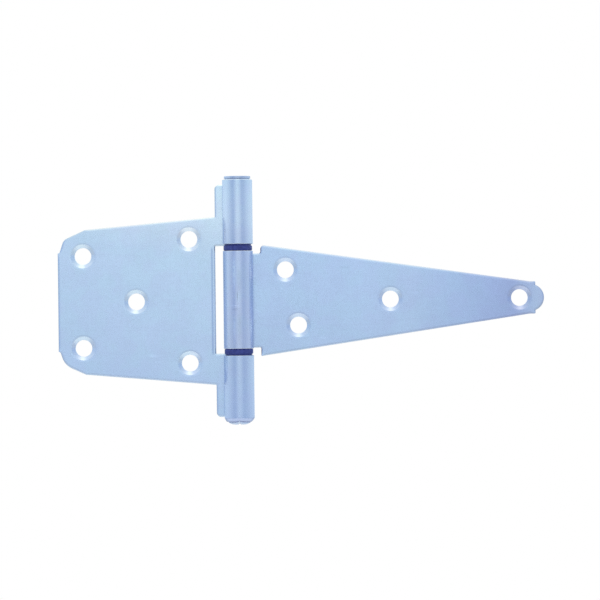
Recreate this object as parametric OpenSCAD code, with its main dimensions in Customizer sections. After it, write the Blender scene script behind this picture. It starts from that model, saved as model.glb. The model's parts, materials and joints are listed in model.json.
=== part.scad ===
// T hinge for a gate or a shed door. A tapered strap leaf swings on a steel pin that is
// riveted into the two rolled knuckles of a wide post leaf, and a nylon washer fills the
// gap at each end of the strap's knuckle.
//
// The flat backs of both leaves lie on the plane y = 0, and the barrel stands proud of it
// towards -Y. The pin runs along +Z and the strap points along +X. The origin is on the
// mounting plane, straight behind the middle of the pin. Millimetres throughout.

/* [Sheet and pin] */
// Thickness of the steel sheet that both leaves are stamped from
sheet = 3.4; // [2.8:0.1:3.6]
// Diameter of the hinge pin's shank
pin_d = 8; // [7:0.1:9]
// Radial clearance between the pin and everything that turns on it
running_gap = 0.08; // [0.04:0.01:0.1]
// Gap between the free edge of a rolled knuckle and the sheet it nearly closes on
seam_gap = 0.2; // [0.1:0.05:0.6]

/* [Barrel] */
// Length of the barrel from end to end, without the pin's head and tail
barrel_l = 120.4; // [118:0.2:130]
// Length of the strap's knuckle, in the middle of the barrel
strap_knuckle_l = 48.7; // [45:0.1:49.5]
// Gap between the strap's knuckle and each knuckle of the post leaf
knuckle_gap = 3.3; // [3.2:0.1:4]
// How far the strap's knuckle and the slot round it sit above the middle of the post leaf
slot_lift = 0.5; // [-0.5:0.1:0.6]
// Height of the taper that the riveting tool leaves round the lower knuckle's end
crimp_h = 2; // [0.5:0.1:2.4]
// How far that taper goes in from the side of the barrel
crimp_w = 1.5; // [0.3:0.1:2]

/* [Pin ends] */
// Diameter of the flat head on top of the barrel
head_d = 13.1; // [10:0.1:14]
// Thickness of the flat head
head_t = 1.7; // [1:0.1:3]
// Diameter of the riveted tail under the barrel
tail_d = 11.4; // [9.5:0.1:12.4]
// Height of the tail's dome
tail_t = 1.6; // [1:0.1:2.5]
// Depth of the groove that the riveting tool leaves across the tail
groove_depth = 0.5; // [0.2:0.1:0.8]

/* [Washers] */
// Outer diameter of a washer
washer_d = 14.3; // [13.7:0.1:14.5]
// Thickness of a washer with its shoulder
washer_t = 3.1; // [2.5:0.1:3.2]
// Diameter of the shoulder, on the side next to the post leaf's knuckle
shoulder_d = 13.3; // [10:0.1:13.6]
// Height of the shoulder
shoulder_t = 0.7; // [0.3:0.1:1]
// Radius of the rim round a washer's full face
washer_rim_r = 0.4; // [0.2:0.1:0.6]

/* [Post leaf] */
// Distance from the pin's axis to the post leaf's outer edge
leaf_w = 90; // [88:0.5:110]
// Height of the post leaf beside the barrel
leaf_root_h = 83.8; // [78:0.2:96]
// Height of the post leaf where its outer corners begin
leaf_shoulder_h = 72.2; // [68:0.2:76]
// Distance from the pin's axis to the place where the outer corners begin
leaf_shoulder_x = 76.4; // [74:0.2:78]
// Length of the straight outer edge
leaf_edge_h = 49; // [44:0.5:52]
// How far the outer edge stands out from the cut corners
leaf_edge_step = 0.9; // [0.2:0.1:1.5]
// Radius of the upper outer corner
upper_corner_r = 4.5; // [2:0.5:8]
// Radius of the lower outer corner
lower_corner_r = 9; // [4:0.5:10]
// Height over the two flat ears that carry the outer knuckles
ear_span = 115.8; // [112:0.2:118]
// Distance from the pin's axis to the slot's far edge and the ears' outer edges
slot_x = 11.45; // [11.2:0.05:14]
// Height of the slot that the strap's knuckle turns in
slot_h = 53.7; // [52:0.1:54.8]

/* [Strap leaf] */
// Length of the strap from the pin's axis to its tip
strap_l = 152.4; // [150:0.2:200]
// Height of the strap's neck, beside the knuckle
neck_h = 47; // [42:0.5:47.5]
// Distance from the pin's axis to the step where the strap widens from its neck
strap_root_x = 11.1; // [10:0.1:13]
// Height of the strap at its widest, just past the step
strap_root_h = 55.5; // [52:0.1:56]
// Radius of the upper corner of the step
strap_root_r = 1.8; // [0.2:0.1:3]
// Height of the strap's nose
nose_h = 16.2; // [14:0.1:18]
// Length of the straight part of the nose
nose_land_l = 2.8; // [1:0.1:5]
// Radius of the round tip
nose_r = 6.8; // [6:0.1:7.4]

/* [Screw holes] */
// Diameter of every screw hole
hole_d = 8.4; // [7:0.1:10]
// Diameter of the countersink on the front face
csk_d = 12; // [10.5:0.1:12.5]
// Depth of the countersink
csk_depth = 1; // [0.5:0.1:1.5]
// Distance from the pin's axis to the post leaf's outer pair of holes
outer_pair_x = 77.5; // [76:0.5:80]
// Spacing of the outer pair
outer_pair_h = 45.9; // [40:0.1:48]
// Distance from the pin's axis to the post leaf's inner pair of holes
inner_pair_x = 24.5; // [22:0.5:30]
// Spacing of the inner pair
inner_pair_h = 61.8; // [40:0.1:64]
// Distance from the pin's axis to the post leaf's middle hole
leaf_middle_x = 51; // [45:0.5:55]
// Distance from the pin's axis to the strap's upper root hole
upper_root_x = 23.5; // [20:0.5:26]
// Height of the strap's upper root hole above the middle
upper_root_z = 15.2; // [12:0.1:17]
// Distance from the pin's axis to the strap's lower root hole
lower_root_x = 29.8; // [24:0.2:34]
// Depth of the strap's lower root hole below the middle
lower_root_z = 12.5; // [10:0.1:16]
// Distance from the pin's axis to the strap's middle hole
strap_middle_x = 75.8; // [60:0.2:90]
// Distance from the pin's axis to the strap's tip hole
strap_tip_x = 140.2; // [130:0.2:141]

/* [Hidden] */

zinc = [0.69, 0.79, 0.91];
nylon = [0.17, 0.17, 0.42];

round_fn = 96;
// a cutting tool runs this far past the face it opens
over = 1;

bore_r = pin_d / 2 + running_gap;
barrel_r = bore_r + sheet;
// angle from straight back to the free edge of the roll, which just clears the sheet's front
seam_angle = acos(1 - (sheet + seam_gap) / barrel_r);
// past this distance from the axis the sheet shows beside the barrel; nearer, it lies under it
cover_x = barrel_r * sin(seam_angle) + 0.1;

barrel_top = barrel_l / 2;
// ends of the strap's knuckle and of the leaf's knuckles next to it
strap_knuckle_top = slot_lift + strap_knuckle_l / 2;
strap_knuckle_low = slot_lift - strap_knuckle_l / 2;
upper_knuckle_low = strap_knuckle_top + knuckle_gap;
lower_knuckle_top = strap_knuckle_low - knuckle_gap;
head_edge_r = 0.4;
// gap above and below a washer
washer_gap = (knuckle_gap - washer_t) / 2;
// height of the tail's straight rim, under the dome
tail_rim_t = 0.15;
// radii of the smaller corners of both outlines
sharp_r = 0.4;
kink_r = 1;
ear_corner_r = 2.2;
neck_corner_r = 1;
nose_corner_r = 0.6;
// the round tip takes over from the nose's straight part this far past the tip's centre
nose_overlap = 2.5;
nose_x = strap_l - nose_r + nose_overlap;
// the outer edge's step out from a cut corner climbs this much
leaf_edge_rise = 0.4;

// slopes of the two cuts that take off each outer corner of the post leaf
shallow_cut = 24.4;
steep_cut = 72;

function unit(v) = v / norm(v);

// point where the line from p at angle a meets the line from q at angle b
function meet(p, a, q, b) =
    let (u = [cos(a), sin(a)], v = [cos(b), sin(b)])
    p + u * cross(q - p, v) / cross(u, v);

// the corner at b, between the edges that come from a and go to c, rounded to radius r
function corner(a, b, c, r) =
    r == 0 ? [b] :
    let (
        u = unit(a - b),
        v = unit(c - b),
        half = acos(u * v) / 2,
        centre = b + unit(u + v) * r / sin(half),
        from = b + u * r / tan(half) - centre,
        to = b + v * r / tan(half) - centre,
        start = atan2(from.y, from.x),
        turn = sign(cross(from, to)) * (180 - 2 * half),
        steps = ceil(abs(turn) / 9)
    )
    [for (i = [0 : steps]) centre + r * [cos(start + turn * i / steps), sin(start + turn * i / steps)]];

// an outline of [x, y, corner radius] points as plain points, with its corners rounded
function rounded(outline) =
    let (n = len(outline), p = [for (q = outline) [q[0], q[1]]])
    [for (i = [0 : n - 1]) each corner(p[(i + n - 1) % n], p[i], p[(i + 1) % n], outline[i][2])];

// the same outline below the middle line, in the opposite order
function below(outline) =
    [for (i = [len(outline) - 1 : -1 : 0]) [outline[i][0], -outline[i][1], outline[i][2]]];

// a flat shape drawn in x and z, with its back on the mounting plane
module plate() {
    rotate([90, 0, 0])
        linear_extrude(sheet)
            children();
}

// a hole through the sheet, countersunk from the front
module screw_hole(x, z) {
    csk_over = over * (csk_d - hole_d) / csk_depth;
    translate([x, 0, z])
        rotate([90, 0, 0]) {
            translate([0, 0, -over])
                cylinder(d = hole_d, h = sheet + 2 * over, $fn = round_fn);
            translate([0, 0, sheet - csk_depth])
                cylinder(d1 = hole_d, d2 = csk_d + csk_over, h = csk_depth + over, $fn = round_fn);
        }
}

// a knuckle rolled from sheet that comes in from +X along the mounting plane
module knuckle(bottom, top) {
    reach = 2 * barrel_r;
    translate([0, -barrel_r, bottom])
        linear_extrude(top - bottom)
            difference() {
                circle(r = barrel_r, $fn = round_fn);
                circle(r = bore_r, $fn = round_fn);
                polygon([[0, 0], [0, reach], reach * [sin(seam_angle), cos(seam_angle)]]);
            }
}

// what the riveting tool takes off round the lower end of the barrel
module crimp() {
    reach = 2 * barrel_r;
    inner = barrel_r - crimp_w * (1 + over / crimp_h);
    translate([0, -barrel_r, -barrel_top])
        rotate_extrude($fn = round_fn)
            polygon([[inner, -over], [reach, -over], [reach, crimp_h], [barrel_r, crimp_h]]);
}

// upper half of the post leaf's edge, from the barrel round to the outer edge
function leaf_half(corner_r) =
    let (
        shoulder = [-leaf_shoulder_x, leaf_shoulder_h / 2],
        edge_foot = [-leaf_w + leaf_edge_step, leaf_edge_h / 2 + leaf_edge_rise],
        cut = meet(shoulder, 180 + shallow_cut, edge_foot, steep_cut)
    )
    [
        [0, barrel_top, 0],
        [-cover_x, barrel_top, 0],
        [-cover_x, ear_span / 2, 0],
        [-slot_x, ear_span / 2, ear_corner_r],
        [-slot_x, leaf_root_h / 2, sharp_r],
        [shoulder.x, shoulder.y, kink_r],
        [cut.x, cut.y, corner_r],
        [edge_foot.x, edge_foot.y, 0],
        [-leaf_w, leaf_edge_h / 2, leaf_edge_step / 4],
    ];

// the slot's edge, from the lower knuckle in the barrel round to the upper one
function slot_edge() = [
    [0, lower_knuckle_top, 0],
    [-cover_x, lower_knuckle_top, 0],
    [-cover_x, slot_lift - slot_h / 2, 0],
    [-slot_x, slot_lift - slot_h / 2, sharp_r],
    [-slot_x, slot_lift + slot_h / 2, sharp_r],
    [-cover_x, slot_lift + slot_h / 2, 0],
    [-cover_x, upper_knuckle_low, 0],
    [0, upper_knuckle_low, 0],
];

module post_leaf() {
    color(zinc)
        difference() {
            union() {
                plate()
                    polygon(rounded(concat(
                        leaf_half(upper_corner_r),
                        below(leaf_half(lower_corner_r)),
                        slot_edge()
                    )));
                mirror([1, 0, 0]) {
                    knuckle(upper_knuckle_low, barrel_top);
                    knuckle(-barrel_top, lower_knuckle_top);
                }
            }
            crimp();
            for (side = [-1, 1]) {
                screw_hole(-outer_pair_x, side * outer_pair_h / 2);
                screw_hole(-inner_pair_x, side * inner_pair_h / 2);
            }
            screw_hole(-leaf_middle_x, 0);
        }
}

// upper half of the strap's edge, from the barrel to the nose
function strap_half(knuckle_end, neck_r, root_r) = [
    [0, knuckle_end, 0],
    [cover_x, knuckle_end, 0],
    [cover_x, neck_h / 2, 0],
    [strap_root_x, neck_h / 2, neck_r],
    [strap_root_x, strap_root_h / 2, root_r],
    [nose_x - nose_land_l, nose_h / 2, kink_r],
    [nose_x, nose_h / 2, nose_corner_r],
];

module strap_leaf() {
    color(zinc)
        difference() {
            union() {
                plate() {
                    polygon(rounded(concat(
                        strap_half(strap_knuckle_top, neck_corner_r, strap_root_r),
                        below(strap_half(-strap_knuckle_low, sharp_r, sharp_r))
                    )));
                    translate([strap_l - nose_r, 0])
                        circle(r = nose_r, $fn = round_fn);
                }
                knuckle(strap_knuckle_low, strap_knuckle_top);
            }
            screw_hole(upper_root_x, upper_root_z);
            screw_hole(lower_root_x, -lower_root_z);
            screw_hole(strap_middle_x, 0);
            screw_hole(strap_tip_x, 0);
        }
}

module hinge_pin() {
    tail_r = tail_d / 2;
    tail_steps = 8;
    groove_side = groove_depth + over;
    dome = [
        for (i = [0 : tail_steps - 1])
            let (a = 90 * i / tail_steps)
            [tail_r * cos(a), -barrel_top - tail_rim_t - (tail_t - tail_rim_t) * sin(a), 0]
    ];
    color(zinc)
        difference() {
            translate([0, -barrel_r, 0])
                rotate_extrude($fn = round_fn)
                    polygon(rounded(concat(
                        [
                            [0, barrel_top + head_t, 0],
                            [head_d / 2, barrel_top + head_t, head_edge_r],
                            [head_d / 2, barrel_top, head_edge_r / 2],
                            [pin_d / 2, barrel_top, 0],
                            [pin_d / 2, -barrel_top, 0],
                            [tail_r, -barrel_top, 0],
                        ],
                        dome,
                        [[0, -barrel_top - tail_t, 0]]
                    )));
            translate([0, -barrel_r, -barrel_top - tail_t])
                rotate([90, 0, 0])
                    linear_extrude(2 * tail_d, center = true)
                        polygon([[-groove_side, -over], [0, groove_depth], [groove_side, -over]]);
        }
}

// a shouldered ring on the pin. face is where its full face lies, side is which way its shoulder is.
module washer(face, side) {
    inner = pin_d / 2 + running_gap;
    outer = washer_d / 2;
    shoulder = shoulder_d / 2;
    color(nylon)
        translate([0, -barrel_r, face])
            mirror([0, 0, side < 0 ? 1 : 0])
                rotate_extrude($fn = round_fn)
                    polygon(rounded([
                        [inner, 0, 0],
                        [outer, 0, washer_rim_r],
                        [outer, washer_t - shoulder_t, (outer - shoulder) / 2],
                        [shoulder, washer_t - shoulder_t, 0],
                        [shoulder, washer_t, 0],
                        [inner, washer_t, 0],
                    ]));
}

module upper_washer() {
    washer(strap_knuckle_top + washer_gap, 1);
}

module lower_washer() {
    washer(strap_knuckle_low - washer_gap, -1);
}

post_leaf();
strap_leaf();
hinge_pin();
upper_washer();
lower_washer();
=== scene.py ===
"""Looks of the T hinge. Each leaf is built as the flat blank it is stamped from, with rolled-over
edges, and its end is then bent round the pin. The pin and the washers are turned."""
import json
import math

import bpy
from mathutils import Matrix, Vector, geometry


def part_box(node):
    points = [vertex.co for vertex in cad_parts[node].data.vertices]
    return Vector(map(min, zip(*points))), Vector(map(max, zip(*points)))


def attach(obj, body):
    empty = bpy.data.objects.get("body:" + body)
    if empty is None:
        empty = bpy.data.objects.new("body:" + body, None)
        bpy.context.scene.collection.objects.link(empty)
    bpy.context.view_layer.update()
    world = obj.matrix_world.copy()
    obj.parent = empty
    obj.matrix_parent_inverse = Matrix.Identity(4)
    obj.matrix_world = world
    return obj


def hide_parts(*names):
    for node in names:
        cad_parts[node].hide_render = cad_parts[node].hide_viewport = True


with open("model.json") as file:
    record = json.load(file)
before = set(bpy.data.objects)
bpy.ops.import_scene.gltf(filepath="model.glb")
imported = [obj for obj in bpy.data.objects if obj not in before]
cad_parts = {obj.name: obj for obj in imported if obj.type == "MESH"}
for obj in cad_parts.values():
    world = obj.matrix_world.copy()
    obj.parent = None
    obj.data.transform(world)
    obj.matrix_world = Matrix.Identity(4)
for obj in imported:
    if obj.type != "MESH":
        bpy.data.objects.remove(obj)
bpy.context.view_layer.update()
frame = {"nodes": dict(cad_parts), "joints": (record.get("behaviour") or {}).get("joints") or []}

MM = 0.001
PER_MM = 1 / MM
# Lengths closer than this count as equal, and so do angles closer than this.
NEAR = 0.002 * MM
NEAR_ANGLE = 0.01
# A loop whose radius varies by less than this share is a round hole.
ROUND_WITHIN = 0.01

# --- Sizes read from the frame ---------------------------------------------------------------


def cad_points(node):
    return [v.co for v in frame["nodes"][node].data.vertices]


def from_axis(p):
    """The point's distance from the pin's axis."""
    return math.hypot(p.x, p.y + BARREL_R)


swing = next(j for j in frame["joints"] if j["name"] == "strap_swing")
BARREL_R = -swing["pos_m"][1]
BARREL_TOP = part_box("post_leaf")[1].z
PIN_LOW, PIN_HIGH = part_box("hinge_pin")
STRAP_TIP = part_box("strap_leaf")[1].x
SHEET = -min(p.y for p in cad_points("strap_leaf") if p.x > STRAP_TIP - MM)
BORE_R = BARREL_R - SHEET


def roll_angle():
    """The angle that the sheet is bent through round the pin, from its back to its free edge."""
    angles = [
        math.atan2(-p.x, p.y + BARREL_R) % math.tau
        for p in cad_points("strap_leaf")
        if abs(from_axis(p) - BARREL_R) < NEAR
    ]
    return max(a for a in angles if a < math.tau - NEAR_ANGLE)


ROLL_ANGLE = roll_angle()
ROLL_LENGTH = ROLL_ANGLE * BARREL_R


def flat_loops(node, y):
    """Closed loops of (x, z) round the node's flat faces in the plane of this y."""
    mesh = frame["nodes"][node].data
    micron = 1e-6

    def key(index):
        p = mesh.vertices[index].co
        return (round(p.x / micron), round(p.z / micron))

    edges = set()
    for face in mesh.polygons:
        if all(abs(mesh.vertices[v].co.y - y) < NEAR for v in face.vertices):
            ring = [key(v) for v in face.vertices]
            edges.update(zip(ring, ring[1:] + ring[:1]))
    follows = {a: b for a, b in edges if (b, a) not in edges}
    loops = []
    while follows:
        here = min(follows)
        loop = []
        while here in follows:
            loop.append((here[0] * micron, here[1] * micron))
            here = follows.pop(here)
        loops.append(loop)
    return loops


def middle(loop):
    xs = [p[0] for p in loop]
    zs = [p[1] for p in loop]
    return ((min(xs) + max(xs)) / 2, (min(zs) + max(zs)) / 2)


def is_hole(loop):
    centre = middle(loop)
    radii = [math.dist(p, centre) for p in loop]
    return max(radii) - min(radii) < ROUND_WITHIN * max(radii)


def loop_radius(loop):
    xs = [p[0] for p in loop]
    return (max(xs) - min(xs)) / 2


# --- Profiles and outlines -------------------------------------------------------------------

# How finely arcs, the bend and the outlines are divided.
ARC_STEP = math.radians(15)
RULING_STEP = math.radians(4)
PLATE_STEP = 2 * MM
KNUCKLE_STEP = 4 * MM
SHORTEST_EDGE = 0.02 * MM
# A corner of the outline that turns more than this is sharp, and is eased to this radius.
SHARP_TURN = math.radians(30)
SHARP_R = 0.25 * MM
EASE_STEPS = 4

# Rollover that stamping leaves on the front edge: how far it reaches in, and how deep it is.
ROLLOVER_W = 1.2 * MM
ROLLOVER_SLOPE = 0.3
# Roundings of the plate's back edge, and of the knuckles' outer and inner edges.
BACK_EDGE_R = 0.15 * MM
KNUCKLE_EDGE_R = 0.35 * MM
BORE_EDGE_R = 0.2 * MM
# How fast a rounding may grow wider along the outline.
RIM_GROWTH = 0.5
# On a curve, a rounding stays under this share of the curve's radius.
CURVE_SHARE = 0.75
STRAIGHT_TURN = 0.02
# The barrel covers the leaf out to this share of its radius. The plate's own rounding grows to
# its full size over the length that follows.
COVER_SHARE = 0.9
COVER_FADE = 2 * MM
# Taper at the foot of the barrel: its width for its height, and how straight it is.
TAPER_SHARE = 0.75
TAPER_POWER = 1.15
# The riveting tool pushes the foot up along a line under the pin.
FOOT_LIFT = 0.45 * MM
FOOT_SPREAD = 1.6 * MM
FOOT_H = 2.5 * MM


def foot_lift(x, z):
    """How far the foot of the barrel is pushed up here, and its slope along x."""
    share = min(1, max(0, 1 - (z + BARREL_TOP) / FOOT_H))
    lift = FOOT_LIFT * share * math.exp(-abs(x) / FOOT_SPREAD)
    return lift, -math.copysign(lift / FOOT_SPREAD, x)


def rounded_path(corners, closed=False):
    """(a, b, normal a, normal b) along a path whose corners are (a, b, radius).

    The path is walked with its outside on the left."""
    n = len(corners)
    path = []

    def unit(p, q):
        d = math.dist(p[:2], q[:2])
        return ((q[0] - p[0]) / d, (q[1] - p[1]) / d)

    for i, (a, b, r) in enumerate(corners):
        before = unit(corners[i - 1], corners[i]) if closed or i else None
        after = unit(corners[i], corners[(i + 1) % n]) if closed or i < n - 1 else None
        if before is None or after is None:
            d = after or before
            path.append((a, b, -d[1], d[0]))
            continue
        turn = math.atan2(
            before[0] * after[1] - before[1] * after[0],
            before[0] * after[0] + before[1] * after[1],
        )
        reach = r * math.tan(abs(turn) / 2)
        steps = max(2, math.ceil(abs(turn) / ARC_STEP))
        side = math.copysign(1, turn)
        start = (a - before[0] * reach, b - before[1] * reach)
        centre = (start[0] - before[1] * r * side, start[1] + before[0] * r * side)
        for k in range(steps + 1):
            t = turn * k / steps
            normal = (
                -before[1] * math.cos(t) - before[0] * math.sin(t),
                before[0] * math.cos(t) - before[1] * math.sin(t),
            )
            place = (centre[0] - normal[0] * r * side, centre[1] - normal[1] * r * side)
            path.append((*place, *normal))
    return path


def eased(loop):
    """The loop with each sharp corner turned into a small arc."""
    out = []
    n = len(loop)
    for i, p in enumerate(loop):
        a, c = loop[i - 1], loop[(i + 1) % n]
        u = (p[0] - a[0], p[1] - a[1])
        v = (c[0] - p[0], c[1] - p[1])
        turn = math.atan2(u[0] * v[1] - u[1] * v[0], u[0] * v[0] + u[1] * v[1])
        if abs(turn) < SHARP_TURN:
            out.append(p)
            continue
        lu, lv = math.hypot(*u), math.hypot(*v)
        reach = min(SHARP_R * math.tan(abs(turn) / 2), lu / 3, lv / 3)
        start = (p[0] - u[0] / lu * reach, p[1] - u[1] / lu * reach)
        end = (p[0] + v[0] / lv * reach, p[1] + v[1] / lv * reach)
        for k in range(EASE_STEPS + 1):
            t = k / EASE_STEPS
            # a quadratic curve from one tangent point to the other, pulled towards the corner
            shares = ((1 - t) ** 2, 2 * t * (1 - t), t**2)
            pulls = tuple(zip(shares, (start, p, end)))
            out.append(tuple(sum(share * q[j] for share, q in pulls) for j in range(2)))
    return out


def divided(loop):
    """The loop with points added at each ruling of the rolled part, and evenly elsewhere."""
    out = []
    n = len(loop)
    for i, a in enumerate(loop):
        b = loop[(i + 1) % n]
        length = math.dist(a, b)
        shares = {0.0}
        if abs(b[0] - a[0]) > NEAR:
            low, high = sorted((a[0], b[0]))
            for u in rulings():
                if low < u < high:
                    shares.add((u - a[0]) / (b[0] - a[0]))
            if high > NEAR:
                flat_from = max(low, 0)
                flat_length = (high - flat_from) / abs(b[0] - a[0]) * length
                count = max(1, math.ceil(flat_length / PLATE_STEP))
                for k in range(1, count):
                    u = flat_from + (high - flat_from) * k / count
                    shares.add((u - a[0]) / (b[0] - a[0]))
        else:
            step = PLATE_STEP if a[0] > -NEAR else KNUCKLE_STEP
            count = max(1, math.ceil(length / step))
            shares.update(k / count for k in range(1, count))
        last = -1
        for s in sorted(shares):
            if (s - last) * length > SHORTEST_EDGE:
                out.append((a[0] + (b[0] - a[0]) * s, a[1] + (b[1] - a[1]) * s))
                last = s
    return out


def rulings():
    """Where the rolled part is creased by its facets, from the bend line to the free edge."""
    count = round(ROLL_ANGLE / RULING_STEP)
    return [-ROLL_LENGTH * k / count for k in range(count)]


def outward(loop):
    """The mitred outward direction at each point of an anticlockwise loop, and the turn there."""
    out = []
    n = len(loop)
    for i, p in enumerate(loop):
        a, c = loop[i - 1], loop[(i + 1) % n]
        u = Vector((p[0] - a[0], p[1] - a[1])).normalized()
        v = Vector((c[0] - p[0], c[1] - p[1])).normalized()
        nu, nv = Vector((u.y, -u.x)), Vector((v.y, -v.x))
        mitre = (nu + nv) / (1 + nu.dot(nv))
        turn = math.atan2(u.x * v.y - u.y * v.x, u.dot(v))
        out.append((mitre, turn))
    return out


def area(loop):
    """The loop's area, above 0 when it runs anticlockwise."""
    return sum(p[0] * q[1] - q[0] * p[1] for p, q in zip(loop, loop[1:] + loop[:1])) / 2


def inside(p, loop):
    """Whether the point lies inside the loop, from how many of its sides are to the right."""
    odd = False
    for a, b in zip(loop, loop[1:] + loop[:1]):
        if (a[1] > p[1]) != (b[1] > p[1]):
            if p[0] < a[0] + (b[0] - a[0]) * (p[1] - a[1]) / (b[1] - a[1]):
                odd = not odd
    return odd


def limited(widths, loop):
    """The widths, cut so that from each narrow place they grow no faster than RIM_GROWTH."""
    n = len(loop)
    out = list(widths)
    for order in (range(2 * n), range(2 * n - 1, -1, -1)):
        step = 1 if order[0] == 0 else -1
        for k in order:
            i, j = k % n, (k - step) % n
            out[i] = min(out[i], out[j] + RIM_GROWTH * math.dist(loop[i], loop[j]))
    return out


# --- Building a leaf -------------------------------------------------------------------------


class Blank:
    """A leaf's mesh, collected in the flat.

    u runs along the leaf from the bend line, z up, and d from the back towards the front. side is
    1 for a leaf that lies on the +X side of the pin, and -1 for the other."""

    def __init__(self, side, has_foot):
        self.side = side
        self.has_foot = has_foot
        self.places, self.normals, self.faces, self.rims = [], [], [], []

    def add(self, u, z, d, normal, rim=0.0):
        self.places.append((u, z, d))
        self.normals.append(normal)
        self.rims.append(rim)
        return len(self.places) - 1

    def bent(self, u, z, d):
        """The place in the row frame, with the directions along u and d there."""
        s = self.side
        if u >= 0:
            return Vector((s * u, -d, z)), Vector((s, 0, 0)), Vector((0, -1, 0))
        a = -u / BARREL_R
        rho = BARREL_R - d
        place = Vector((-s * rho * math.sin(a), rho * math.cos(a) - BARREL_R, z))
        along = Vector((s * math.cos(a), math.sin(a), 0))
        inward = Vector((s * math.sin(a), -math.cos(a), 0))
        return place, along, inward

    def ring_faces(self, rings, flip=False):
        """Quads between rings that follow one another, each a closed list of vertices."""
        for a, b in zip(rings, rings[1:]):
            n = len(a)
            for i in range(n):
                j = (i + 1) % n
                quad = (a[i], b[i], b[j], a[j])
                self.faces.append(quad[::-1] if flip else quad)

    def fill(self, loops, creases, inner_points, front):
        """Triangles inside the first loop and outside the others, along the creases."""
        index = [v for loop in loops for v in loop] + inner_points
        local = {v: k for k, v in enumerate(index)}
        coords = [Vector(self.places[v][:2]) / MM for v in index]
        sides = [pair for loop in loops for pair in zip(loop, loop[1:] + loop[:1])]
        edges = [(local[a], local[b]) for a, b in sides + creases]
        _, _, faces, origin, _, _ = geometry.delaunay_2d_cdt(coords, edges, [], 0, 1e-6)
        outline, *holes = [[tuple(self.places[v][:2]) for v in loop] for loop in loops]
        for face in faces:
            corners = [index[origin[k][0]] for k in face]
            centre = tuple(sum(self.places[v][k] for v in corners) / 3 for k in range(2))
            if not inside(centre, outline) or any(inside(centre, h) for h in holes):
                continue
            self.faces.append(tuple(corners if front else corners[::-1]))

    def mesh(self, name):
        points, normals = [], []
        for (u, z, d), (nu, nz, nd) in zip(self.places, self.normals):
            place, along, inward = self.bent(u, z, d)
            normal = (along * nu + Vector((0, 0, nz)) + inward * nd).normalized()
            if self.has_foot:
                lift, slope = foot_lift(place.x, place.z)
                place.z += lift
                normal.x -= slope * normal.z
            points.append(place)
            normals.append(normal.normalized())
        faces = self.faces if self.side > 0 else [f[::-1] for f in self.faces]
        mesh = bpy.data.meshes.new(name)
        mesh.from_pydata(points, [], faces)
        blank = mesh.attributes.new("blank", "FLOAT_VECTOR", "POINT")
        for k, (u, z, d) in enumerate(self.places):
            blank.data[k].vector = (u / MM, z / MM, d / MM)
        rim = mesh.attributes.new("rim", "FLOAT", "POINT")
        for k, value in enumerate(self.rims):
            rim.data[k].value = value
        mesh.shade_smooth()
        mesh.normals_split_custom_set_from_vertices(normals)
        return mesh


def leaf_outline(node, side):
    """The blank's outline with its knuckles unrolled, and the height of the taper at its foot.

    The outline is a list of (u, z), anticlockwise."""
    back = max((l for l in flat_loops(node, 0.0) if not is_hole(l)), key=lambda l: abs(area(l)))
    lowest = min(z for _, z in back)
    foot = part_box(node)[0].z
    taper = lowest - foot
    loop = []
    for x, z in back:
        u = side * x
        loop.append((-ROLL_LENGTH if u < NEAR else u, foot if z < lowest + NEAR else z))
    return (loop if area(loop) > 0 else loop[::-1]), taper


def countersink_depth(node, centre, hole_r):
    """How far the countersink of the hole at this (x, z) goes in from the front."""
    wall = [
        -p.y
        for p in cad_points(node)
        if abs(math.dist((p.x, p.z), centre) - hole_r) < 5 * NEAR
    ]
    return SHEET - max(wall)


RIM_FRONT_STEPS = 6
RIM_BACK_STEPS = 5


def rim_rings(blank, outline, taper):
    """Rings from the front face, round the blank's edge, to its back face."""
    directions = outward(outline)
    foot = min(z for _, z in outline)
    cover = BARREL_R * COVER_SHARE
    front, depth, back, tapered = [], [], [], []
    for (u, z), (_, turn), previous in zip(outline, directions, outline[-1:] + outline[:-1]):
        step = math.dist((u, z), previous)
        tight = CURVE_SHARE * step / turn if turn > STRAIGHT_TURN else math.inf
        if turn > SHARP_TURN:
            tight = SHARP_R
        plate = min(1, max(0, (u - cover) / COVER_FADE))
        front.append(min(tight, ROLLOVER_W * plate + BORE_EDGE_R * (1 - plate)))
        depth.append(ROLLOVER_SLOPE * plate + 1 - plate)
        at_foot = taper > NEAR and z < foot + NEAR
        tapered.append(at_foot)
        edge = taper if at_foot else KNUCKLE_EDGE_R
        back.append(min(tight, BACK_EDGE_R * plate + edge * (1 - plate)))
    front = limited(front, outline)
    back = limited(back, outline)
    rings = []
    for k in range(RIM_FRONT_STEPS + 1):
        a = math.pi / 2 * k / RIM_FRONT_STEPS
        ring = []
        for (u, z), (m, _), w, share in zip(outline, directions, front, depth):
            h = w * share
            inset = w * (1 - math.sin(a))
            out = m.normalized() * (math.sin(a) / w)
            normal = Vector((out.x, out.y, math.cos(a) / h)).normalized()
            d = SHEET - h * (1 - math.cos(a))
            ring.append(blank.add(u - m.x * inset, z - m.y * inset, d, normal, math.sin(a)))
        rings.append(ring)
    for k in range(RIM_BACK_STEPS, -1, -1):
        a = math.pi / 2 * k / RIM_BACK_STEPS
        ring = []
        for (u, z), (m, _), w, at_foot in zip(outline, directions, back, tapered):
            power = TAPER_POWER if at_foot else 2
            share = TAPER_SHARE if at_foot else 1
            reach, rise = math.sin(a) ** (2 / power), math.cos(a) ** (2 / power)
            inset = w * (1 - reach)
            out = m.normalized() * reach ** (power - 1) * share
            normal = Vector((out.x, out.y, -(rise ** (power - 1)))).normalized()
            d = w * share * (1 - rise)
            ring.append(blank.add(u - m.x * inset, z - m.y * inset, d, normal, math.sin(a)))
        rings.append(ring)
    return rings


HOLE_STEPS = 64
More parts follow.
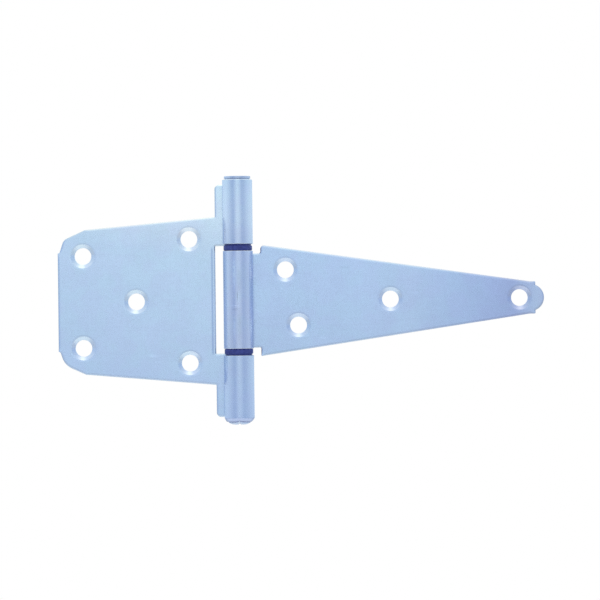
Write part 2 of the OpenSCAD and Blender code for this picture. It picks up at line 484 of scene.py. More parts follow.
# The punch leaves a low dish round each countersink. Its bend has a radius of DISH_BEND times its
# width, and it keeps EDGE_GAP clear of the leaf's edge.
DISH_W = 1.6 * MM
DISH_DEPTH = 0.05 * MM
DISH_BEND = 4
EDGE_GAP = 0.3 * MM
CSK_EDGE_R = 0.18 * MM
HOLE_EDGE_R = 0.15 * MM


def hole_rings(blank, centre, hole_r, csk_r, csk_depth, room):
    """Rings from the front face, down the countersink and the hole, to the back face."""
    dish = min(DISH_W, room - csk_r - EDGE_GAP)
    profile = rounded_path(
        [
            (csk_r + dish, SHEET, 0),
            (csk_r + dish / 2, SHEET, dish * DISH_BEND),
            (csk_r, SHEET - DISH_DEPTH, CSK_EDGE_R),
            (hole_r, SHEET - csk_depth, HOLE_EDGE_R),
            (hole_r, 0, HOLE_EDGE_R),
            (hole_r + 2 * HOLE_EDGE_R, 0, 0),
        ]
    )
    rings = []
    for radius, d, nr, nd in profile:
        ring = []
        for k in range(HOLE_STEPS):
            a = math.tau * k / HOLE_STEPS
            c, s = math.cos(a), math.sin(a)
            place = (centre[0] + radius * c, centre[1] + radius * s, d)
            ring.append(blank.add(*place, (-nr * c, -nr * s, -nd), -nr))
        rings.append(ring)
    return rings


def crease_lines(blank, ring):
    """Points and edges that keep the fill's triangles from crossing the bend's rulings."""
    edges, points = [], []
    for u in rulings():
        on_line = [v for v in ring if abs(blank.places[v][0] - u) < NEAR]
        on_line.sort(key=lambda v: blank.places[v][1])
        for low, high in zip(on_line[::2], on_line[1::2]):
            z0, z1 = blank.places[low][1], blank.places[high][1]
            _, _, d = blank.places[low]
            _, _, nd = blank.normals[low]
            count = math.ceil((z1 - z0) / KNUCKLE_STEP)
            chain = [low]
            for k in range(1, count):
                chain.append(blank.add(u, z0 + (z1 - z0) * k / count, d, (0, 0, nd)))
            points += chain[1:]
            chain.append(high)
            edges += list(zip(chain, chain[1:]))
    return edges, points


def build_leaf(name, node, side):
    """The leaf of this CAD node, from its outline and holes to the finished object."""
    outline, taper = leaf_outline(node, side)
    outline = divided(eased(outline))
    blank = Blank(side, taper > NEAR)
    rim = rim_rings(blank, outline, taper)
    blank.ring_faces(rim)
    back_holes = [l for l in flat_loops(node, 0.0) if is_hole(l)]
    front_holes = [l for l in flat_loops(node, -SHEET) if is_hole(l)]
    holes = []
    for loop in sorted(back_holes, key=middle):
        centre = middle(loop)
        front = min(front_holes, key=lambda l: math.dist(middle(l), centre))
        flat_centre = (side * centre[0], centre[1])
        room = min(math.dist(blank.places[v][:2], flat_centre) for v in rim[0])
        hole_r = loop_radius(loop)
        depth = countersink_depth(node, centre, hole_r)
        rings = hole_rings(blank, flat_centre, hole_r, loop_radius(front), depth, room)
        blank.ring_faces(rings, flip=True)
        holes.append(rings)
    for front, end in ((True, 0), (False, -1)):
        creases, points = crease_lines(blank, rim[end])
        blank.fill([rim[end]] + [rings[end] for rings in holes], creases, points, front)
    return bpy.data.objects.new(name, blank.mesh(name))


# --- Turned pieces ---------------------------------------------------------------------------

TURN_STEPS = 128


def turned(name, path, shape=None, closed=False):
    """A profile of (radius, z, normal r, normal z) turned round the pin's axis.

    shape, if there is one, moves each point afterwards."""
    points, normals, faces, rows = [], [], [], []
    for r, z, nr, nz in path:
        row = []
        for k in range(1 if r < NEAR else TURN_STEPS):
            a = math.tau * k / TURN_STEPS
            c, s = math.cos(a), math.sin(a)
            x, y, h = r * c, r * s, z
            if shape:
                x, y, h = shape(x, y, h)
            row.append(len(points))
            points.append((x, y - BARREL_R, h))
            normals.append((nr * c, nr * s, nz))
        rows.append(row)
    pairs = list(zip(rows, rows[1:])) + ([(rows[-1], rows[0])] if closed else [])
    for a, b in pairs:
        for k in range(TURN_STEPS):
            j = (k + 1) % TURN_STEPS
            corners = (a[k % len(a)], b[k % len(b)], b[j % len(b)], a[j % len(a)])
            face = tuple(dict.fromkeys(corners))
            if len(face) > 2:
                faces.append(face)
    mesh = bpy.data.meshes.new(name)
    mesh.from_pydata(points, [], faces)
    mesh.shade_smooth()
    if shape is None:
        mesh.normals_split_custom_set_from_vertices(normals)
    return bpy.data.objects.new(name, mesh)


def radii_at(node, z):
    """Distances from the pin's axis of the node's points at this height."""
    return [from_axis(p) for p in cad_points(node) if abs(p.z - z) < NEAR]


def heights_at(node, radius):
    """Heights of the node's points at this distance from the pin's axis."""
    return [p.z for p in cad_points(node) if abs(from_axis(p) - radius) < NEAR]


# The head stands on a short neck, which shows as a dark line above the knuckle.
HEAD_EDGE_R = 0.22 * MM
HEAD_LOW_EDGE_R = 0.12 * MM
HEAD_GAP = 0.55 * MM
HEAD_OVERHANG = 0.45 * MM
NECK_SHARE = 0.6
NECK_EDGE_R = 0.1 * MM
SHANK_EDGE_R = 0.2 * MM
TAIL_UNDERCUT = 0.5 * MM
# The riveted tail's corners: share of its radius, share of its height, and rounding.
TAIL_CORNERS = [(1.0, 0.78, 0.3 * MM), (0.62, 0.18, 1.2 * MM), (0.3, 0.0, 1.0 * MM)]
TAIL_GROOVE = 0.35 * MM
TAIL_GROOVE_W = 0.4 * MM
TAIL_GROOVE_FADE = 0.3 * MM


def build_pin(name):
    head_r = PIN_HIGH.x
    shank_r = min(radii_at("hinge_pin", BARREL_TOP))
    tail_r = max(radii_at("hinge_pin", -BARREL_TOP))
    top, bottom = PIN_HIGH.z, PIN_LOW.z
    neck_r = head_r - HEAD_OVERHANG
    tail_h = -BARREL_TOP - bottom
    corners = [
        (0, top, 0),
        (head_r, top, HEAD_EDGE_R),
        (head_r, BARREL_TOP + HEAD_GAP, HEAD_LOW_EDGE_R),
        (neck_r, BARREL_TOP + HEAD_GAP * NECK_SHARE, NECK_EDGE_R),
        (neck_r, BARREL_TOP, NECK_EDGE_R),
        (shank_r, BARREL_TOP, SHANK_EDGE_R),
        (shank_r, -BARREL_TOP, SHANK_EDGE_R),
        (tail_r - TAIL_UNDERCUT, -BARREL_TOP, NECK_EDGE_R),
    ]
    corners += [(tail_r * r, bottom + tail_h * h, edge) for r, h, edge in TAIL_CORNERS]
    corners.append((0, bottom, 0))

    def pushed(x, y, z):
        """The foot's lift, and the groove that the tool leaves across the tail."""
        if z > 0:
            return x, y, z
        below = min(1, max(0, (-BARREL_TOP - z) / TAIL_GROOVE_FADE))
        groove = TAIL_GROOVE * below * math.exp(-((x / TAIL_GROOVE_W) ** 2))
        return x, y, z + foot_lift(x, z)[0] + groove

    return turned(name, rounded_path(corners), pushed)


WASHER_RIM_R = 0.4 * MM
WASHER_STEP_R = 0.3 * MM
WASHER_BORE_EDGE_R = 0.15 * MM
SHOULDER_ROOT_R = 0.06 * MM
SHOULDER_EDGE_R = 0.12 * MM
# The mould's parting line leaves a low ridge half way up the washer's rim.
FLASH = 0.04 * MM
FLASH_H = 0.15 * MM
FLASH_ROOT_R = 0.1 * MM
FLASH_TIP_R = 0.08 * MM


def build_washer(name, node):
    """A washer with its full face towards the strap's knuckle and its shoulder away from it."""
    low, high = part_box(node)
    outer = high.x
    flange = heights_at(node, outer)
    # heights are measured from the full face towards the shoulder, which may be above or below
    upward = min(flange) + max(flange) < low.z + high.z
    face, end = (low.z, high.z) if upward else (high.z, low.z)
    sign = 1 if upward else -1
    shoulder = max(radii_at(node, end))
    step = min(abs(z - face) for z in heights_at(node, shoulder))
    mid = step / 2
    corners = [
        (BORE_R, 0, WASHER_BORE_EDGE_R),
        (outer - FLASH, 0, WASHER_RIM_R),
        (outer - FLASH, mid - FLASH_H, FLASH_ROOT_R),
        (outer, mid, FLASH_TIP_R),
        (outer - FLASH, mid + FLASH_H, FLASH_ROOT_R),
        (outer - FLASH, step, WASHER_STEP_R),
        (shoulder, step, SHOULDER_ROOT_R),
        (shoulder, abs(end - face), SHOULDER_EDGE_R),
        (BORE_R, abs(end - face), WASHER_BORE_EDGE_R),
    ]
    corners = [(r, face + sign * h, edge) for r, h, edge in corners]
    path = rounded_path(corners[::-1] if upward else corners, closed=True)
    return turned(name, path, closed=True)


# --- Materials -------------------------------------------------------------------------------


class Nodes:
    """A small helper round a node tree: each call adds one node and returns its output."""

    def __init__(self, owner):
        owner.use_nodes = True
        self.tree = owner.node_tree
        self.tree.nodes.clear()

    def node(self, kind, inputs=None, **settings):
        node = self.tree.nodes.new(kind)
        for name, value in settings.items():
            setattr(node, name, value)
        for name, value in (inputs or {}).items():
            socket = node.inputs[name]
            if isinstance(value, bpy.types.NodeSocket):
                self.tree.links.new(value, socket)
            else:
                socket.default_value = value
        return node

    def math(self, operation, a, b=0.0, c=0.0):
        return self.node("ShaderNodeMath", {0: a, 1: b, 2: c}, operation=operation).outputs[0]

    def vector(self, operation, a, b=(0, 0, 0)):
        node = self.node("ShaderNodeVectorMath", {0: a, 1: b}, operation=operation)
        return node.outputs["Value" if operation in ("LENGTH", "DOT_PRODUCT") else "Vector"]

    def noise(self, vector, scale=1.0, detail=2.0, roughness=0.5):
        inputs = {"Vector": vector, "Scale": scale, "Detail": detail, "Roughness": roughness}
        return self.node("ShaderNodeTexNoise", inputs).outputs["Fac"]

    def smooth(self, value, low, high, to_low=0.0, to_high=1.0):
        inputs = {"Value": value, 1: low, 2: high, 3: to_low, 4: to_high}
        node = self.node("ShaderNodeMapRange", inputs, interpolation_type="SMOOTHSTEP")
        return node.outputs["Result"]

    def mix(self, share, a, b, blend="MIX"):
        node = self.node("ShaderNodeMix", data_type="RGBA", blend_type=blend)
        sockets = (node.inputs["Factor"], node.inputs[6], node.inputs[7])
        for socket, value in zip(sockets, (share, a, b)):
            if isinstance(value, bpy.types.NodeSocket):
                self.tree.links.new(value, socket)
            elif socket.type == "RGBA":
                socket.default_value = (*value[:3], 1.0)
            else:
                socket.default_value = value
        return node.outputs[2]

    def times(self, colour, tint):
        return self.mix(1.0, colour, tint, "MULTIPLY")

    def tinted(self, share, colour, tint):
        """The colour, multiplied by the tint where the share is 1."""
        return self.mix(share, colour, self.times(colour, tint))

    def between(self, share, a, b):
        """A number that goes from a to b with the share."""
        return self.node("ShaderNodeMix", {0: share, 2: a, 3: b}).outputs[0]

    def split(self, vector):
        return self.node("ShaderNodeSeparateXYZ", {"Vector": vector}).outputs

    def join(self, x, y, z):
        return self.node("ShaderNodeCombineXYZ", {"X": x, "Y": y, "Z": z}).outputs["Vector"]

    def grey(self, value):
        return self.join(value, value, value)

    def place_mm(self):
        """The place on the piece in mm, in the row frame."""
        place = self.node("ShaderNodeTexCoord").outputs["Object"]
        return self.vector("MULTIPLY", place, (PER_MM, PER_MM, PER_MM))

    def ramp(self, value, stops):
        """A colour ramp through (place, colour) stops."""
        node = self.node("ShaderNodeValToRGB", {"Fac": value})
        elements = node.color_ramp.elements
        while len(elements) < len(stops):
            elements.new(0.5)
        for element, (place, colour) in zip(elements, stops):
            element.position = place
            element.color = (*colour[:3], 1.0)
        return node.outputs["Color"]


# Where most of a noise's values lie.
NOISE_SPAN = (0.3, 0.7)

# The plate mirrors a pale blue room, so its own colour holds only part of the blue. The grades
# hold the plate's colour together with painted light and shade: the post leaf is made lighter
# towards its top ears, and the strap leaf darker towards its far end and lighter again at its
# tip. Stops are (place in mm, colour): up the post leaf, and along the strap leaf from its
# barrel.
POST_COLOUR_AND_LIGHT = [
    (-60, (0.682, 0.771, 0.921)),
    (-33, (0.715, 0.790, 0.912)),
    (-8, (0.738, 0.814, 0.922)),
    (17, (0.761, 0.838, 0.925)),
    (28, (0.818, 0.858, 0.925)),
    (41, (0.925, 0.975, 0.995)),
    (52, (0.900, 0.960, 0.990)),
    (60, (0.840, 0.925, 0.965)),
]
STRAP_COLOUR_AND_LIGHT = [
    (0, (0.679, 0.760, 0.904)),
    (60, (0.676, 0.755, 0.900)),
    (86, (0.668, 0.733, 0.880)),
    (106, (0.600, 0.670, 0.845)),
    (126, (0.555, 0.611, 0.811)),
    (137, (0.522, 0.554, 0.762)),
    (149, (0.635, 0.679, 0.825)),
]
# The post leaf's grade, with its painted light, drops away from the barrel, in mm for each mm.
POST_LIGHT_SLANT = -0.18
# Painted shade on the strap leaf, darker at its bottom: its shade at its bottom and top, and how
# far these are from its middle, in mm.
STRAP_SHADE = (0.975, 1.005)
STRAP_SHADE_Z = 26
# Painted light and shade on the rolled part: its tints at the hinge's bottom and top, and how far
# these are from its middle.
POST_ROLLED_LIGHT = ((0.97, 0.955, 0.98), (0.885, 0.88, 0.94))
STRAP_ROLLED_LIGHT = ((1.08, 1.00, 0.98), (1.04, 0.98, 0.97))
ROLLED_Z = 40
# Where the rolled part's looks begin and are full, in mm along the blank.
BEND_FADE = (0.5, -1.5)
# The rim value is above 0 on the leaf's edge, and below 0 in its holes.
# The cones of the holes get a painted highlight, standing in for the light they mirror.
CONE_HIGHLIGHT = (1.09, 1.07, 1.04)
CONE_FADE = (-0.2, -0.45)
RIM_TINT = (0.93, 0.90, 0.85)
RIM_FADE = (0.55, 1.0)
# The plate's sheen wanders between two tints.
VIOLET_TINT = (1.0, 0.98, 1.002)
CYAN_TINT = (0.992, 1.01, 1.0)
SHEEN_FADE = (0.35, 0.68)


def surface(n, colour, roughness, metallic, height, bump_distance):
    bump = n.node("ShaderNodeBump", {"Height": height, "Distance": bump_distance})
    shader = n.node(
        "ShaderNodeBsdfPrincipled",
        {
            "Base Color": colour,
            "Roughness": roughness,
            "Metallic": metallic,
            "Normal": bump.outputs["Normal"],
        },
    )
    n.node("ShaderNodeOutputMaterial", {"Surface": shader.outputs[0]})


def graded(n, value, grade):
    """A colour that follows the value, in mm, through a grade's stops."""
    first, last = grade[0][0], grade[-1][0]
    share = n.math("DIVIDE", n.math("SUBTRACT", value, first), last - first)
    return n.ramp(share, [((at - first) / (last - first), colour) for at, colour in grade])


def shaded(n, colour, value, low, high):
    """The colour times a grey that goes from low to high with a noise value."""
    return n.times(colour, n.grey(n.smooth(value, *NOISE_SPAN, low, high)))


# The slot's corners are within this height, and past this share of the barrel's radius.
SLOT_WITHIN_Z = 28 * MM
PAST_BARREL = 1.2


def slot_edge():
    """The slot's far edge in mm from the bend line, read from the post leaf's points."""
    reach = [-p.x for p in cad_points("post_leaf") if abs(p.z) < SLOT_WITHIN_Z]
    return min(x for x in reach if x > PAST_BARREL * BARREL_R) * PER_MM


def stretched(n, x, y, z, scale):
    return n.join(*(n.math("MULTIPLY", v, k) for v, k in zip((x, y, z), scale)))


def spot(n, along, across, centre, size):
    """1 in the middle of a soft oval mark, 0 outside it."""
    a = n.math("DIVIDE", n.math("SUBTRACT", along, centre[0]), size[0])
    b = n.math("DIVIDE", n.math("SUBTRACT", across, centre[1]), size[1])
    return n.smooth(n.vector("LENGTH", n.join(a, b, 0.0)), 1.0, MARK_CORE)


# Marks from handling on the plates, a darker strip along the post leaf's slot edge, and on the
# strap's knuckle a scratch and painted reflection streaks, lighter and darker stripes that stand
# in for the room's light: (x, z, half width, half height, shade), in mm.
POST_MARKS = [
    (-43, -27, 3.5, 1.2, 1.10),
    (-64, 12, 1.0, 4.0, 0.95),
    # a darker strip along the slot's edge
    (-9.5, 0.0, 1.3, 27.0, 0.93),
]
STRAP_MARKS_AND_REFLECTIONS = [
    (53, 16, 3.0, 1.0, 0.93),
    (89, 3, 2.5, 1.0, 1.08),
    (42, -19, 3.0, 1.0, 1.07),
    # a scratch on the strap's knuckle
    (-0.3, 2.5, 0.3, 3.8, 0.62),
    # painted reflection streaks on the strap's knuckle, standing in for the room's light
    (-1.9, 14.0, 0.9, 12.0, 1.30),
    (-1.9, -14.0, 0.9, 10.0, 1.15),
    (0.5, -13.0, 1.4, 12.0, 0.86),
    (0.6, 10.0, 1.4, 8.0, 0.88),
    (6.4, -12.0, 0.8, 14.0, 1.25),
    (-7.0, 12.0, 0.6, 12.0, 0.86),
    # a lighter and a darker line beside the scratch
    (-1.9, -2.4, 2.8, 0.45, 1.25),
    (-1.5, -4.2, 2.4, 1.0, 0.86),
]
# A mark is full out to this share of its size.
MARK_CORE = 0.2

# Painted shade: the taper at the foot of the barrel is darker, and darkest where it meets the
# pin's tail:
# (height above the foot where it begins and is full, in mm, and shade).
TAPER_SHADE = (2.4, 1.6, 0.84)
TAIL_SHADE = (0.6, 0.2, 0.76)
SHADE_BLUE_POWER = 0.5
# The press leaves a shallow crease beside the slot, drawn as a line of painted shade: its
# distance from the slot's far edge, the half widths and half heights at which it has faded out
# and is full, in mm, and its tint.
SLOT_LINE_GAP = 2
SLOT_LINE_W = (0.75, 0.1)
SLOT_LINE_H = (27.5, 25.5)
SLOT_LINE_SHADE = (0.70, 0.74, 0.83)


def foot_and_slot_shade(n, colour, u, z, rolled):
    """The post leaf's colour with painted shade at its foot and in the crease beside its slot."""
    above = n.math("ADD", z, -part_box("post_leaf")[0].z * PER_MM)
    begins, full, dark = TAPER_SHADE
    taper = n.smooth(above, begins, full, 1.0, dark)
    begins, full, dark = TAIL_SHADE
    shade = n.math("MULTIPLY", taper, n.smooth(above, begins, full, 1.0, dark))
    blue = n.math("POWER", shade, SHADE_BLUE_POWER)
    colour = n.times(colour, n.mix(rolled, (1.0, 1.0, 1.0), n.join(shade, shade, blue)))
    off_line = n.math("ABSOLUTE", n.math("SUBTRACT", u, slot_edge() + SLOT_LINE_GAP))
    across = n.smooth(off_line, *SLOT_LINE_W)
    along = n.smooth(n.math("ABSOLUTE", z), *SLOT_LINE_H)
    return n.tinted(n.math("MULTIPLY", across, along), colour, SLOT_LINE_SHADE)


# Noise scales for each mm along the blank's u, z and d, and for each mm of place.
STREAK_SCALE = (1.1, 0.03, 1)
GRAIN_SCALE = (0.06, 1.6, 1)
CROSS_GRAIN_SCALE = (1.3, 0.08, 1)
CROSS_GRAIN_SHARE = 0.4
CLOUD_SCALE = 0.11
PATCH_SCALE = 0.05
PATCH_OFFSET = (31.0, 7.0, 53.0)
MARK_NOISE_SCALE = 1.4
MARK_NOISE_SPAN = (0.25, 0.6)
ROUGH_SCALE = 0.5
PEBBLE_SCALE = 2.4
PEBBLE_SHARE = 0.35
LINE_SHADE = (0.985, 1.012)
SHEET_ROUGHNESS = (0.22, 0.30)
SHEET_BUMP = 0.007 * MM
# Marks are on the front only: by depth in the post leaf's sheet, and by y on the strap leaf.
FRONT_DEPTH = (0.5, 1.5)
FRONT_Y = (-1.0, -3.0)


def sheet_lines(n, u, z, d, rolled):
    """The rolling tool's long streaks on the barrel, and the sheet's own grain on the flat."""
    streaks = n.noise(stretched(n, u, z, d, STREAK_SCALE), 1.0, 3.0, 0.6)
    grain = n.noise(stretched(n, u, z, d, GRAIN_SCALE), 1.0, 3.0, 0.55)
    cross_grain = n.noise(stretched(n, u, z, d, CROSS_GRAIN_SCALE), 1.0, 2.0, 0.5)
    return n.between(rolled, n.between(CROSS_GRAIN_SHARE, grain, cross_grain), streaks)


def post_colour_and_light(n, u, z):
    height = n.math("MULTIPLY_ADD", n.math("MAXIMUM", u, 0.0), POST_LIGHT_SLANT, z)
    return graded(n, height, POST_COLOUR_AND_LIGHT)


def strap_colour_and_light(n, u, z):
    # painted shade, darker towards the strap leaf's bottom
    shade = n.smooth(z, -STRAP_SHADE_Z, STRAP_SHADE_Z, *STRAP_SHADE)
    return n.times(graded(n, u, STRAP_COLOUR_AND_LIGHT), n.grey(shade))


def zinc_sheet(name, is_post, rolled_painted_light, marks_and_reflections):
    """Bright blue zinc plate over rolled sheet steel."""
    material = bpy.data.materials.new(name)
    n = Nodes(material)
    blank = n.node("ShaderNodeAttribute", attribute_name="blank").outputs["Vector"]
    rim = n.node("ShaderNodeAttribute", attribute_name="rim").outputs["Fac"]
    u, z, d = n.split(blank)
    place = n.place_mm()
    x, y, height_z = n.split(place)
    rolled = n.smooth(u, *BEND_FADE)
    lines = sheet_lines(n, u, z, d, rolled)

    # the grade holds the plate's colour together with painted light and shade
    colour = post_colour_and_light(n, u, z) if is_post else strap_colour_and_light(n, u, z)
    cloud = n.noise(place, CLOUD_SCALE, 2.0, 0.55)
    colour = n.times(colour, n.mix(n.smooth(cloud, *SHEEN_FADE), VIOLET_TINT, CYAN_TINT))
    # painted light and shade on the rolled part, towards the hinge's bottom and top
    rolled_tint = n.mix(n.smooth(z, -ROLLED_Z, ROLLED_Z), *rolled_painted_light)
    colour = n.tinted(rolled, colour, rolled_tint)
    # painted highlight: the cones of the holes are made brighter, standing in for the light they
    # mirror
    colour = n.tinted(n.smooth(rim, *CONE_FADE), colour, CONE_HIGHLIGHT)
    # the plating is thinner and greyer where edges have rubbed
    colour = n.tinted(n.smooth(rim, *RIM_FADE), colour, RIM_TINT)
    colour = shaded(n, colour, lines, *LINE_SHADE)
    patch = n.noise(n.vector("ADD", place, PATCH_OFFSET), PATCH_SCALE, 1.0, 0.5)
    colour = shaded(n, colour, patch, *LINE_SHADE)
    if is_post:
        # painted shade at the foot of the barrel and in the crease beside the slot
        colour = foot_and_slot_shade(n, colour, u, z, rolled)

    front = n.smooth(d, *FRONT_DEPTH) if is_post else n.smooth(y, *FRONT_Y)
    mark_noise = n.smooth(n.noise(place, MARK_NOISE_SCALE, 3.0, 0.6), *MARK_NOISE_SPAN)
    # handling marks, a scratch, and painted reflection streaks on the strap's knuckle
    for mark_x, mark_z, half_x, half_z, shade in marks_and_reflections:
        share = spot(n, x, height_z, (mark_x, mark_z), (half_x, half_z))
        share = n.math("MULTIPLY", n.math("MULTIPLY", share, mark_noise), front)
        colour = n.tinted(share, colour, (shade, shade, shade))

    rough = n.smooth(n.noise(place, ROUGH_SCALE, 4.0, 0.6), *NOISE_SPAN, *SHEET_ROUGHNESS)
    pebble = n.noise(place, PEBBLE_SCALE, 3.0, 0.6)
    surface(n, colour, rough, 1.0, n.between(PEBBLE_SHARE, lines, pebble), SHEET_BUMP)
    return material


PIN_COLOUR = (0.60, 0.67, 0.83)
PIN_GREY = (0.63, 0.67, 0.80)
PIN_CLOUD_SCALE = 0.3
PIN_CLOUD_SPAN = (0.35, 0.65)
PIN_ROUGH_SCALE = 1.2
PIN_ROUGHNESS = (0.28, 0.42)
PIN_BUMP = 0.02 * MM
TURNING_SCALE = (0.3, 0.3, 4.0)
TURNING_SHADE = (0.95, 1.04)
DENT_SCALE = 3.0
DENT_SHARE = 0.4


def zinc_pin(name):
    """The same plate on a turned and riveted pin, a little greyer and more worn."""
    material = bpy.data.materials.new(name)
    n = Nodes(material)
    place = n.place_mm()
    cloud = n.noise(place, PIN_CLOUD_SCALE, 3.0, 0.55)
    colour = n.mix(n.smooth(cloud, *PIN_CLOUD_SPAN), PIN_GREY, PIN_COLOUR)
    turning = n.noise(stretched(n, *n.split(place), TURNING_SCALE), 1.0, 2.0)
    colour = shaded(n, colour, turning, *TURNING_SHADE)
    rough = n.smooth(n.noise(place, PIN_ROUGH_SCALE, 3.0), *NOISE_SPAN, *PIN_ROUGHNESS)
    dents = n.noise(place, DENT_SCALE, 3.0)
    surface(n, colour, rough, 1.0, n.between(DENT_SHARE, turning, dents), PIN_BUMP)
    return material


NYLON_DARK = (0.024, 0.030, 0.185)
NYLON_LIGHT = (0.046, 0.056, 0.265)
NYLON_CLOUD_SCALE = 0.8
NYLON_ROUGH_SCALE = 1.5
NYLON_ROUGHNESS = (0.38, 0.52)
NYLON_GRAIN_SCALE = 4.0
NYLON_BUMP = 0.02 * MM


def nylon(name):
    """Dark blue moulded nylon with a satin skin."""
    material = bpy.data.materials.new(name)
    n = Nodes(material)
    place = n.place_mm()
    cloud = n.noise(place, NYLON_CLOUD_SCALE, 3.0, 0.6)
    colour = n.mix(n.smooth(cloud, *NOISE_SPAN), NYLON_DARK, NYLON_LIGHT)
    rough = n.smooth(n.noise(place, NYLON_ROUGH_SCALE, 3.0), *NOISE_SPAN, *NYLON_ROUGHNESS)
    grain = n.noise(place, NYLON_GRAIN_SCALE, 4.0, 0.6)
    surface(n, colour, rough, 0.0, grain, NYLON_BUMP)
    return material


# --- The hinge -------------------------------------------------------------------------------


def place_piece(piece, material, node, body):
    """Puts the piece in the scene in place of the CAD node, on that node's body."""
    bpy.context.scene.collection.objects.link(piece)
    piece.data.materials.append(material)
    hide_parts(node)
    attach(piece, body)


place_piece(
    build_leaf("post_leaf_sheet", "post_leaf", -1),
    zinc_sheet("zinc_post_leaf", True, POST_ROLLED_LIGHT, POST_MARKS),
    "post_leaf", "post",
)
place_piece(
    build_leaf("strap_leaf_sheet", "strap_leaf", 1),
    zinc_sheet("zinc_strap_leaf", False, STRAP_ROLLED_LIGHT, STRAP_MARKS_AND_REFLECTIONS),
    "strap_leaf", "strap",
)
place_piece(build_pin("riveted_pin"), zinc_pin("zinc_pin"), "hinge_pin", "post")
place_piece(
    build_washer("upper_nylon_washer", "upper_washer"),
    nylon("nylon_upper"), "upper_washer", "upper_ring",
)
place_piece(
    build_washer("lower_nylon_washer", "lower_washer"),
    nylon("nylon_lower"), "lower_washer", "lower_ring",
)

# --- Studio ----------------------------------------------------------------------------------

# The room's light by azimuth in degrees, from the front round to each side, and by the height of
# its direction from straight down (-1) to straight up (1).
ROOM_TINT = (0.598, 0.749, 0.927)
AROUND = [
    (-180, (1.00, 1.00, 1.00)),
    (-125, (1.07, 1.08, 1.05)),
    (-98, (1.12, 1.13, 1.08)),
    (-74, (0.98, 1.00, 1.00)),
    (-52, (0.76, 0.80, 0.87)),
    (-30, (0.56, 0.63, 0.78)),
    (-12, (0.98, 0.98, 1.00)),
    (0, (1.12, 1.12, 1.07)),
    (14, (1.04, 1.04, 1.02)),
    (36, (0.62, 0.68, 0.81)),
    (56, (0.74, 0.78, 0.86)),
    (84, (0.96, 0.98, 1.00)),
    (120, (1.09, 1.09, 1.04)),
    (180, (1.00, 1.00, 1.00)),
]
UPRIGHT = [
    (-1.0, (1.18, 1.06, 0.96)),
    (-0.75, (1.12, 1.02, 0.93)),
    (-0.4, (0.96, 0.92, 0.86)),
    (-0.1, (1.00, 1.00, 1.00)),
    (0.2, (1.03, 1.02, 1.00)),
    (0.5, (1.40, 1.28, 1.10)),
    (0.8, (1.95, 1.65, 1.32)),
    (1.0, (2.00, 1.70, 1.34)),
]
ROOM_SCALE = 2.0


def studio_light():
    """White behind the hinge, and a soft room round it for its metal to mirror."""
    world = bpy.data.worlds.new("studio")
    bpy.context.scene.world = world
    n = Nodes(world)
    direction = n.node("ShaderNodeTexCoord").outputs["Generated"]
    x, y, z = n.split(direction)
    azimuth = n.math("ARCTAN2", x, n.math("MULTIPLY", y, -1.0))
    turn = n.math("MULTIPLY_ADD", azimuth, 1 / math.tau, 0.5)

    def scaled(colour):
        # a ramp's colours stay under 1, so both ramps are scaled down here and back up below
        return tuple(v / ROOM_SCALE for v in colour)

    around = n.ramp(turn, [(at / 360 + 0.5, scaled(colour)) for at, colour in AROUND])
    height = n.math("MULTIPLY_ADD", z, 0.5, 0.5)
    upright = n.ramp(height, [(at / 2 + 0.5, scaled(colour)) for at, colour in UPRIGHT])
    room = n.times(n.times(around, upright), ROOM_TINT)
    light = n.node("ShaderNodeBackground", {"Color": room, "Strength": ROOM_SCALE**2}).outputs[0]
    white = n.node("ShaderNodeBackground", {"Color": (1, 1, 1, 1), "Strength": 1.0}).outputs[0]
    seen = n.node("ShaderNodeLightPath").outputs["Is Camera Ray"]
    both = n.node("ShaderNodeMixShader", {0: seen, 1: light, 2: white}).outputs[0]
    n.node("ShaderNodeOutputWorld", {"Surface": both})


FLOOR_DROP = 0.14
FLOOR_SIZE = 3.0
FLOOR_STEPS = 48
FLOOR_RINGS = (0.25, 0.5, 1.0)
FLOOR_PAINT = ((0.86, 0.87, 0.89), (0.88, 0.89, 0.91))
FLOOR_GRAIN_SCALE = 40.0
# Past the fade the floor glows: white as the camera sees it, and a soft blue grey as the metal
# mirrors it.
FLOOR_FADE = (0.15, 0.42)
FLOOR_GLOW = (0.52, 0.62, 0.73)


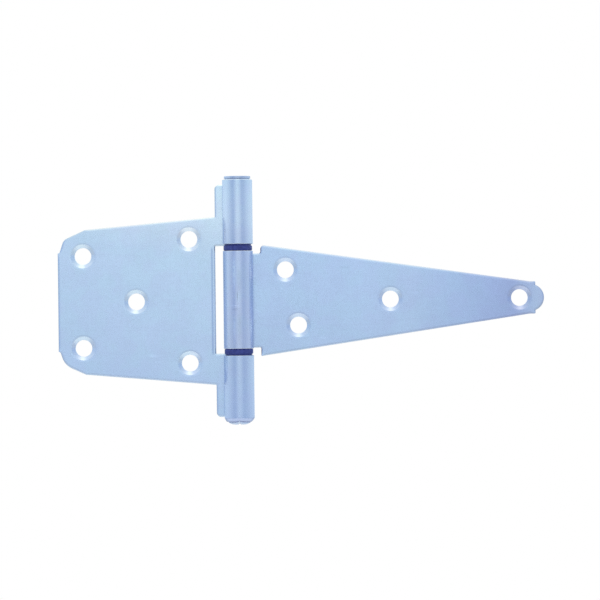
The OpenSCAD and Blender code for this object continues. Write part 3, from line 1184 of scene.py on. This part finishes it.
def floor():
    """A pale floor under the hinge that fades into the white round it."""
    level = PIN_LOW.z - FLOOR_DROP
    points = [(0.0, 0.0, level)]
    for share in FLOOR_RINGS:
        r = FLOOR_SIZE * share
        for k in range(FLOOR_STEPS):
            a = math.tau * k / FLOOR_STEPS
            points.append((r * math.cos(a), r * math.sin(a), level))
    faces = [(0, 1 + k, 1 + (k + 1) % FLOOR_STEPS) for k in range(FLOOR_STEPS)]
    for ring in range(len(FLOOR_RINGS) - 1):
        inner = 1 + ring * FLOOR_STEPS
        outer = inner + FLOOR_STEPS
        for k in range(FLOOR_STEPS):
            j = (k + 1) % FLOOR_STEPS
            faces.append((inner + k, outer + k, outer + j, inner + j))
    mesh = bpy.data.meshes.new("floor")
    mesh.from_pydata(points, [], faces)
    piece = bpy.data.objects.new("floor", mesh)
    bpy.context.scene.collection.objects.link(piece)
    material = bpy.data.materials.new("pale_floor")
    n = Nodes(material)
    place = n.node("ShaderNodeTexCoord").outputs["Object"]
    grain = n.noise(place, FLOOR_GRAIN_SCALE, 3.0)
    paint = n.mix(n.smooth(grain, *NOISE_SPAN), *FLOOR_PAINT)
    matt = n.node("ShaderNodeBsdfDiffuse", {"Color": paint}).outputs[0]
    seen = n.node("ShaderNodeLightPath").outputs["Is Camera Ray"]
    glow_colour = n.mix(seen, FLOOR_GLOW, (1.0, 1.0, 1.0))
    glow = n.node("ShaderNodeEmission", {"Color": glow_colour, "Strength": 1.0}).outputs[0]
    x, y, _ = n.split(place)
    fade = n.smooth(n.vector("LENGTH", n.join(x, y, 0.0)), *FLOOR_FADE)
    both = n.node("ShaderNodeMixShader", {0: fade, 1: matt, 2: glow}).outputs[0]
    n.node("ShaderNodeOutputMaterial", {"Surface": both})
    piece.data.materials.append(material)


# The camera looks straight at the front and is rolled a little. FIELD is the picture's width at
# the plates' front face.
CAMERA_DISTANCE = 1.5
CAMERA_REACH = 20
FIELD = 0.2993
SENSOR = 36.0
CAMERA_ROLL = math.radians(0.65)
AIM_X = 0.03065


def camera():
    data = bpy.data.cameras.new("camera")
    data.sensor_width = SENSOR
    data.lens = SENSOR * CAMERA_DISTANCE / FIELD
    data.clip_end = CAMERA_REACH
    piece = bpy.data.objects.new("camera", data)
    bpy.context.scene.collection.objects.link(piece)
    piece.location = (AIM_X, -SHEET - CAMERA_DISTANCE, 0.0)
    piece.rotation_euler = (math.pi / 2, CAMERA_ROLL, 0)
    bpy.context.scene.camera = piece


studio_light()
floor()
camera()
bpy.context.scene.view_settings.view_transform = "Standard"
